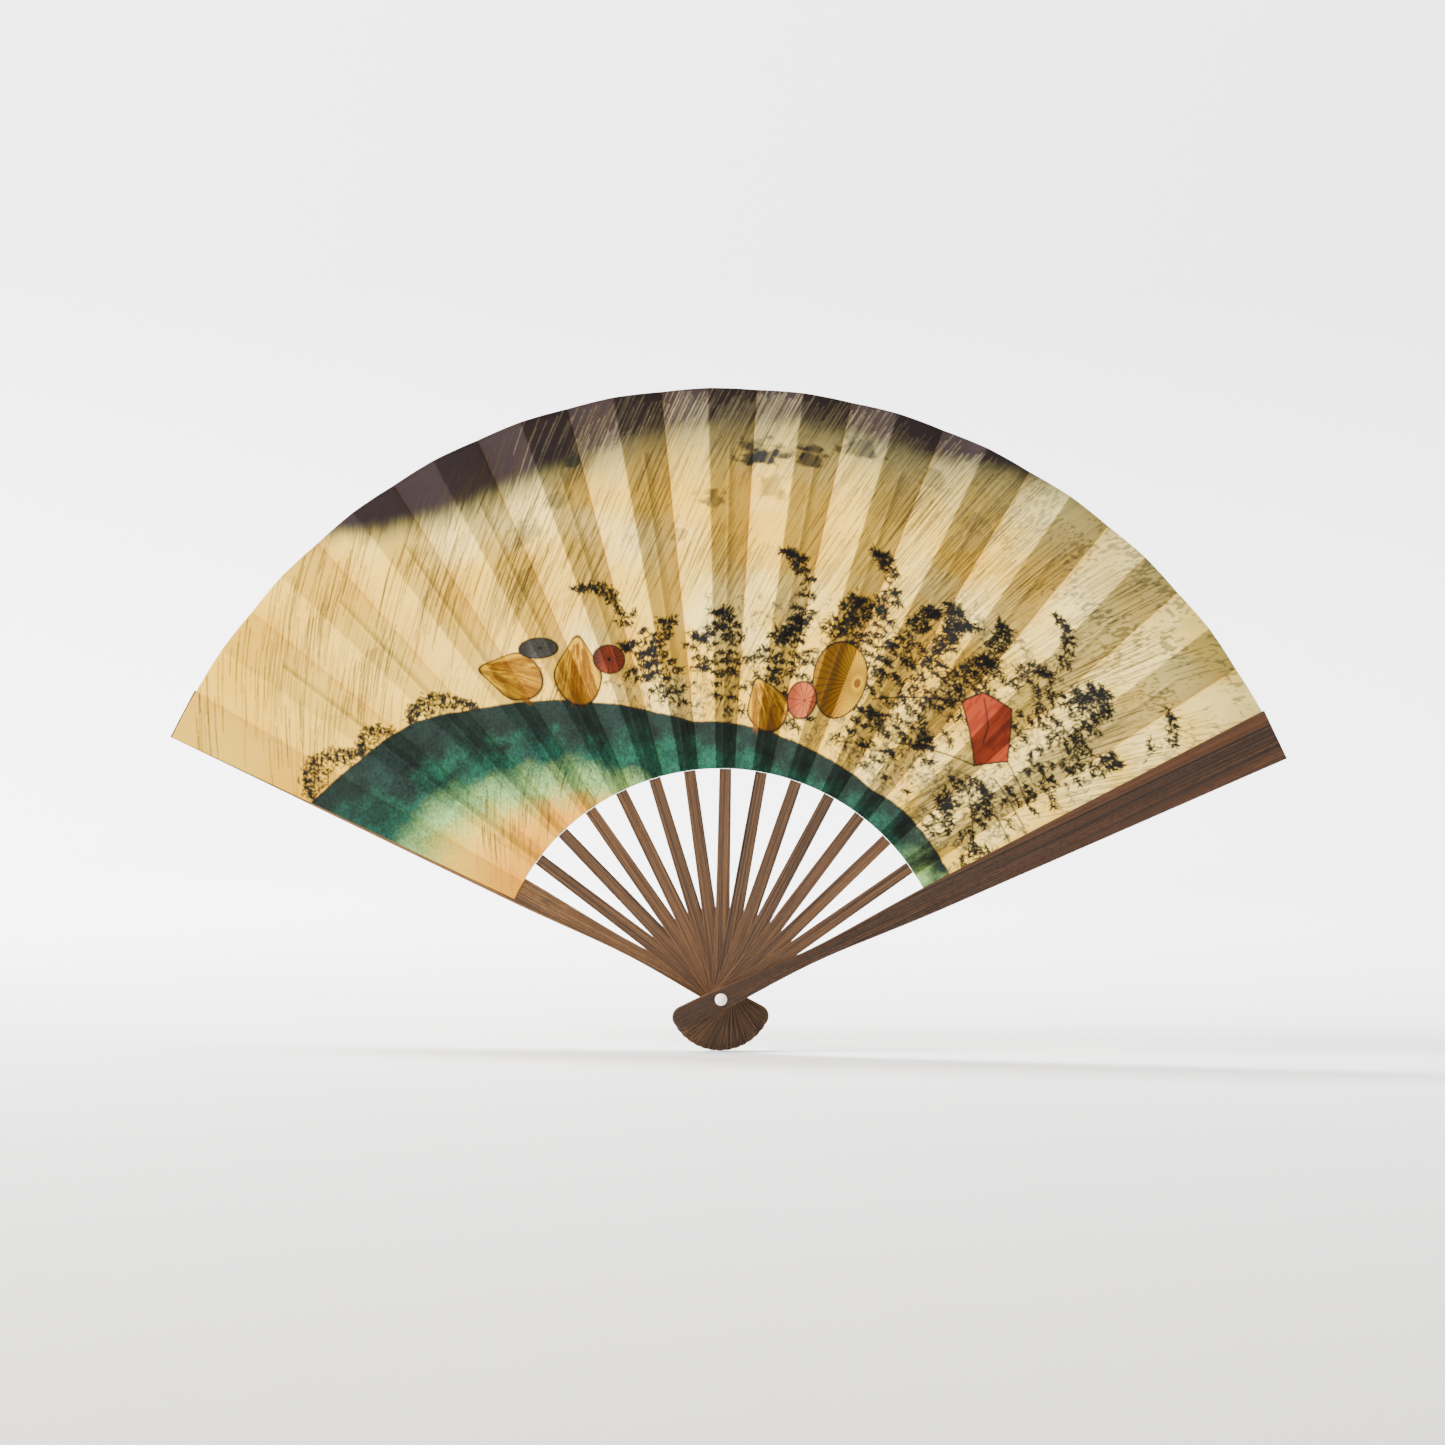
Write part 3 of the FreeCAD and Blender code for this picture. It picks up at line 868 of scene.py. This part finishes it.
def edge_group():
    """Where a stick is near its long edges: its distance from the middle line over its half width there,
    which runs 0 at the middle to 1 at the edge. The half width narrows smoothly from tail to waist along Z,
    then widens straight to its end."""
    group, given, made = new_group(
        "stick_edges",
        [("Vector", "Vector"), ("End Width", "Float")],
        [("Share", "Float"), ("Side", "Float")],
    )
    parts = add(group, "SeparateXYZ")
    group.links.new(given.outputs["Vector"], parts.inputs["Vector"])
    waist = add(group, "MapRange", interpolation_type="SMOOTHSTEP")
    for label, value in zip(RANGE_INPUTS, (-0.004, 0.034, TAIL_HALF, WAIST_HALF)):
        waist.inputs[label].default_value = value
    flare = add(group, "MapRange")
    for label, value in zip(RANGE_INPUTS[:3], (0.04, LEAF_INNER, 0.0)):
        flare.inputs[label].default_value = value
    group.links.new(parts.outputs["Z"], waist.inputs["Value"])
    group.links.new(parts.outputs["Z"], flare.inputs["Value"])
    widening = calculated(group, "SUBTRACT", given.outputs["End Width"], WAIST_HALF)
    group.links.new(widening, flare.inputs["To Max"])
    half = calculated(group, "ADD", waist.outputs["Result"], flare.outputs["Result"])
    side = calculated(group, "DIVIDE", parts.outputs["X"], half)
    group.links.new(side, made.inputs["Side"])
    group.links.new(calculated(group, "ABSOLUTE", side), made.inputs["Share"])
    return group


def bamboo_material(name, angle, dark, light, mottle, end_width):
    """One stick's bamboo. Mapping turns the object's coordinates so that Z runs along the stick. Its long
    edges carry painted highlights, strongest on the lit side, with a line of painted shade just inside them."""
    material, tree, shader = new_material(name, 0.5, 0.25)
    coordinates = add(tree, "TexCoord")
    turned = add(tree, "Mapping")
    turned.inputs["Rotation"].default_value = (0.0, angle - math.pi / 2, 0.0)
    tree.links.new(coordinates.outputs["Object"], turned.inputs["Vector"])
    grain = tree.nodes.new("ShaderNodeGroup")
    grain.node_tree = groups["bamboo"]
    grain.inputs["Dark"].default_value = rgba(dark)
    grain.inputs["Light"].default_value = rgba(light)
    grain.inputs["Mottle"].default_value = mottle
    edges = tree.nodes.new("ShaderNodeGroup")
    edges.node_tree = groups["edges"]
    edges.inputs["End Width"].default_value = end_width
    for group in (grain, edges):
        tree.links.new(turned.outputs["Vector"], group.inputs["Vector"])
    # Painted shade in a line just inside each long edge, and painted highlights on both edges, stronger on the lit
    # left side.
    edge_shade = ramp(tree, edges.outputs["Share"], [(0.62, grey(1.0)), (0.84, grey(0.45)), (0.9, grey(1.0))])
    edge_highlight = ramp(tree, edges.outputs["Side"], [(0.0, grey(0.0)), (0.86, grey(0.0)), (0.93, grey(1.0))])
    lit_edge_highlight = ramp(tree, calculated(tree, "MULTIPLY", edges.outputs["Side"], -1.0),
                    [(0.84, grey(0.0)), (0.9, grey(1.0))])
    colour = mixed(tree, 0.7, grain.outputs["Color"], edge_shade, "MULTIPLY")
    pale = rgba(np.asarray(light) * 1.15)
    colour = mixed(tree, calculated(tree, "MULTIPLY", edge_highlight, 0.15), colour, pale)
    colour = mixed(tree, calculated(tree, "MULTIPLY", lit_edge_highlight, 0.35), colour, pale)
    tree.links.new(colour, shader.inputs["Base Color"])
    tree.links.new(grain.outputs["Roughness"], shader.inputs["Roughness"])
    bump(tree, grain.outputs["Height"], 0.00012, 0.8, shader)
    return material


def paper_material():
    """The leaf's paper, coloured by the painting attribute."""
    material, tree, shader = new_material("leaf_paper", 0.82, 0.15)
    coordinates = add(tree, "TexCoord")
    painting = add(tree, "Attribute", attribute_name="painting")
    fibres = tree.nodes.new("ShaderNodeGroup")
    fibres.node_tree = groups["paper"]
    tree.links.new(coordinates.outputs["Object"], fibres.inputs["Vector"])
    tree.links.new(painting.outputs["Color"], fibres.inputs["Color"])
    tree.links.new(fibres.outputs["Color"], shader.inputs["Base Color"])
    bump(tree, fibres.outputs["Height"], 0.00006, 0.5, shader)
    return material


def rivet_material():
    """Moulded white plastic, a little yellowed in patches and scuffed in its gloss."""
    material, tree, shader = new_material("rivet_white", 0.35, 0.5)
    coordinates = add(tree, "TexCoord")
    patches = noise(tree, coordinates.outputs["Object"], 900.0, 3.0)
    scuffs = noise(tree, coordinates.outputs["Object"], 4200.0, 3.0)
    tint = ramp(tree, patches, [(0.35, rgba((232, 226, 210))), (0.65, rgba((250, 248, 242)))])
    tree.links.new(tint, shader.inputs["Base Color"])
    tree.links.new(ramp(tree, scuffs, [(0.4, grey(0.28)), (0.7, grey(0.5))]), shader.inputs["Roughness"])
    bump(tree, scuffs, 0.00002, 0.4, shader)
    return material


groups = {"bamboo": bamboo_group(), "edges": edge_group(), "paper": paper_group()}
materials = {
    "leaf_paper": paper_material(),
    "rivet": rivet_material(),
}


def finish_node(name, material):
    slots = frame["nodes"][name].data.materials
    slots.clear()
    slots.append(material)


def finish_sticks():
    """Every rib in its own slightly different brown, the rear guard tanner and the front guard darker."""
    rng = np.random.default_rng(81)
    for stick in range(1, FRONT_STICK):
        shade = rng.uniform(0.9, 1.1)
        dark, light = np.array([38, 23, 11]) * shade, np.array([102, 70, 40]) * shade
        name = "rib_bamboo_%02d" % stick
        material = bamboo_material(name, stick_angle[stick], dark, light, 0.15, RIB_END_HALF)
        finish_node("rib_%02d" % stick, material)
        finish_node("rib_blade_%02d" % stick, material)
    for name, angle, dark, light, mottle in (
        ("rear_guard", stick_angle[0], (52, 31, 14), (114, 80, 43), 0.3),
        ("front_guard", stick_angle[-1], (22, 11, 3), (72, 42, 15), 0.6),
    ):
        finish_node(name, bamboo_material(name + "_bamboo", angle, dark, light, mottle, GUARD_END_HALF))
    for name in ("rivet_pin", "rivet_cap"):
        finish_node(name, materials["rivet"])


make_leaf()
finish_sticks()

# ------------------------------------------------------------------ floor, light and camera

FLOOR_GAP = 0.0002
FLOOR = float(cad_low.z) - FLOOR_GAP
BOWL_RADIUS = 3.2
BOWL_CURVE = 1.3
BOWL_HEIGHT = 2.6
SIDES = 96


def make_floor():
    """A round studio floor that curves up into a wall. Its profile, spun about Z, is a level run, a quarter
    circle and a straight rise."""
    flat = np.linspace(0.02, BOWL_RADIUS - BOWL_CURVE, 12)
    turn = np.linspace(0, math.pi / 2, 24)[1:]
    tall = np.linspace(BOWL_CURVE, BOWL_HEIGHT, 5)[1:]
    curve = BOWL_RADIUS - BOWL_CURVE + BOWL_CURVE * np.sin(turn)
    reach = np.concatenate([flat, curve, np.full(4, BOWL_RADIUS)])
    height = FLOOR + np.concatenate([0 * flat, BOWL_CURVE * (1 - np.cos(turn)), tall])
    around = np.linspace(0, 2 * math.pi, SIDES, endpoint=False)
    ring = np.stack([np.outer(reach, np.cos(around)), np.outer(reach, np.sin(around)),
                     np.outer(height, np.ones_like(around))], axis=-1).reshape(-1, 3)
    row, column = np.meshgrid(np.arange(len(reach) - 1), np.arange(SIDES), indexing="ij")
    inner, outer, after = row * SIDES, (row + 1) * SIDES, (column + 1) % SIDES
    quads = np.stack([inner + column, outer + column, outer + after, inner + after], axis=-1)
    mesh = bpy.data.meshes.new("studio_floor")
    mesh.from_pydata(ring.tolist(), [], quads.reshape(-1, 4).tolist() + [list(range(SIDES))])
    mesh.polygons.foreach_set("use_smooth", np.ones(len(mesh.polygons), bool))
    material, tree, shader = new_material("studio_white", 0.85, 0.2)
    coordinates, parts = add(tree, "TexCoord"), add(tree, "SeparateXYZ")
    tree.links.new(coordinates.outputs["Object"], parts.inputs["Vector"])
    # Painted shade: the backdrop's pale grey darkens from the floor up the wall to half a metre.
    shade = ramp(tree, parts.outputs["Z"], [(0.0, rgba((240, 240, 241))), (0.5, rgba((200, 200, 201)))])
    tree.links.new(shade, shader.inputs["Base Color"])
    mesh.materials.append(material)
    floor = bpy.data.objects.new("studio_floor", mesh)
    bpy.context.scene.collection.objects.link(floor)


def area_light(name, place, target, size, power, colour=(1.0, 1.0, 1.0)):
    light = bpy.data.lights.new(name, "AREA")
    light.size, light.energy, light.color = size, power, colour
    lamp = bpy.data.objects.new(name, light)
    lamp.location = place
    lamp.rotation_euler = (Vector(target) - Vector(place)).to_track_quat("-Z", "Y").to_euler()
    bpy.context.scene.collection.objects.link(lamp)


def make_lights():
    """Soft warm daylight from the upper left in front, two lamps on the wall behind, and a pale even
    surround."""
    area_light("key", (-1.9, -1.1, 1.35), (0, 0, 0.08), 0.7, 175, (1.0, 0.95, 0.86))
    area_light("wall_left", (-1.2, 0.8, 1.9), (-1.0, 3.0, 0.0), 1.6, 400)
    area_light("wall_right", (1.3, 0.8, 2.2), (0.9, 3.0, 0.5), 1.6, 80)
    world = bpy.data.worlds.new("surround")
    world.use_nodes = True
    world.node_tree.nodes["Background"].inputs["Color"].default_value = (0.92, 0.95, 1.0, 1.0)
    world.node_tree.nodes["Background"].inputs["Strength"].default_value = 0.22
    bpy.context.scene.world = world


def make_camera():
    """Straight in front and far off, rolled about a degree. The rivet is this far left of the view's
    middle and below it."""
    distance, view_width, roll = 1.7, 0.494, math.radians(1.1)
    rivet_left, rivet_down = 0.0005, 0.0942
    camera_data = bpy.data.cameras.new("camera")
    camera_data.lens = camera_data.sensor_width * distance / view_width
    camera = bpy.data.objects.new("camera", camera_data)
    right = np.array([math.cos(roll), 0, math.sin(roll)])
    upward = np.array([-math.sin(roll), 0, math.cos(roll)])
    camera.location = FRONT * distance + right * rivet_left + upward * rivet_down
    camera.rotation_euler = (math.pi / 2, -roll, 0)
    bpy.context.scene.collection.objects.link(camera)
    bpy.context.scene.camera = camera


make_floor()
make_lights()
make_camera()
